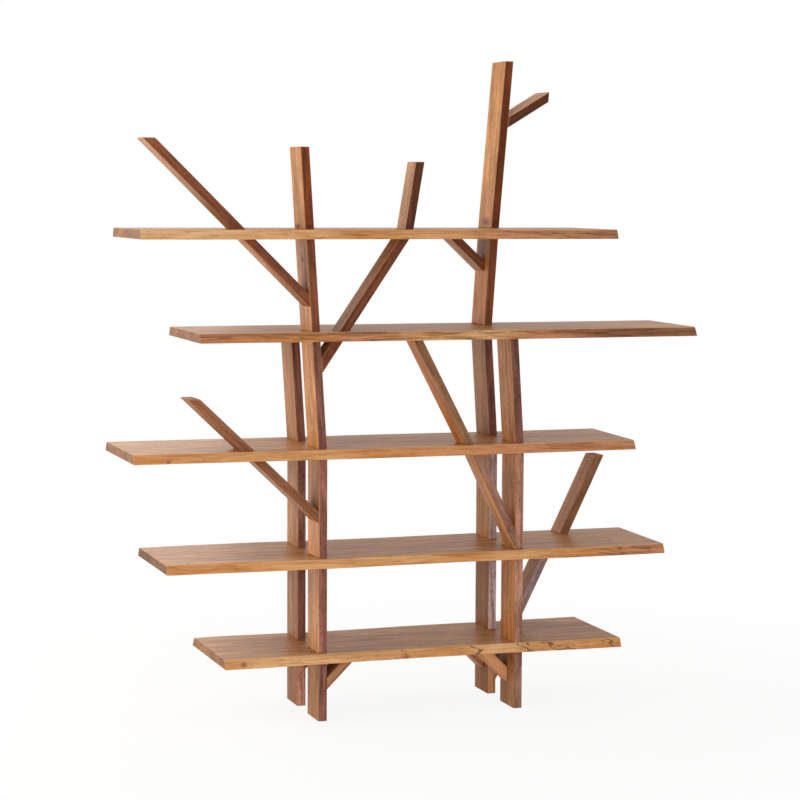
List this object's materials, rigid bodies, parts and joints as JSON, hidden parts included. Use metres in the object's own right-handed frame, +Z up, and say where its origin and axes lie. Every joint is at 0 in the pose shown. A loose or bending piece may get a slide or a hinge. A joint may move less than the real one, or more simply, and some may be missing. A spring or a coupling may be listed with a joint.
{
  "type": "tree-shaped bookshelf",
  "caption": "Free-standing open bookshelf shaped like a tree: live-edge solid wood boards carried on paired upright trunks, with slanting branches and short braces.",
  "frame": {"origin": "middle of the overall outline, on the floor under the feet", "axes": "+Z up, +X along the shelves towards the right seen from the front, the front faces -Y"},
  "size_m": [1.8394, 0.4476, 2.031],
  "materials": {
    "shelf_board": "oiled hardwood, satin sheen, golden natural edges",
    "trunk_stock": "oiled hardwood, sawn and sanded, satin sheen",
    "tenon_stock": "plain sanded hardwood"
  },
  "bodies": {
    "root": {"branch_tenons": "tenon_stock", "crown_twig": "trunk_stock", "front_left_brace": "trunk_stock", "front_left_crown": "trunk_stock", "front_left_foot": "trunk_stock", "front_left_trunk_1": "trunk_stock", "front_left_trunk_2": "trunk_stock", "front_left_trunk_3": "trunk_stock", "front_left_trunk_4": "trunk_stock", "front_right_brace": "trunk_stock", "front_right_foot": "trunk_stock", "front_right_trunk_1": "trunk_stock", "front_right_trunk_2": "trunk_stock", "front_right_trunk_3": "trunk_stock", "inner_high_branch_lower": "trunk_stock", "inner_high_branch_middle": "trunk_stock", "inner_high_branch_stub": "trunk_stock", "inner_low_branch_lower": "trunk_stock", "inner_low_branch_upper": "trunk_stock", "left_high_branch_lower": "trunk_stock", "left_high_branch_upper": "trunk_stock", "left_low_branch_lower": "trunk_stock", "left_low_branch_upper": "trunk_stock", "rear_left_brace": "trunk_stock", "rear_left_foot": "trunk_stock", "rear_left_trunk_1": "trunk_stock", "rear_left_trunk_2": "trunk_stock", "rear_left_trunk_3": "trunk_stock", "rear_right_brace": "trunk_stock", "rear_right_crown": "trunk_stock", "rear_right_foot": "trunk_stock", "rear_right_trunk_1": "trunk_stock", "rear_right_trunk_2": "trunk_stock", "rear_right_trunk_3": "trunk_stock", "rear_right_trunk_4": "trunk_stock", "right_branch_foot": "trunk_stock", "right_branch_middle": "trunk_stock", "right_branch_upper": "trunk_stock", "shelf_bottom": "shelf_board", "shelf_lower": "shelf_board", "shelf_middle": "shelf_board", "shelf_top": "shelf_board", "shelf_upper": "shelf_board", "top_brace": "trunk_stock", "trunk_end_tenons": "tenon_stock", "trunk_tenons": "tenon_stock"}
  },
  "joints": []
}
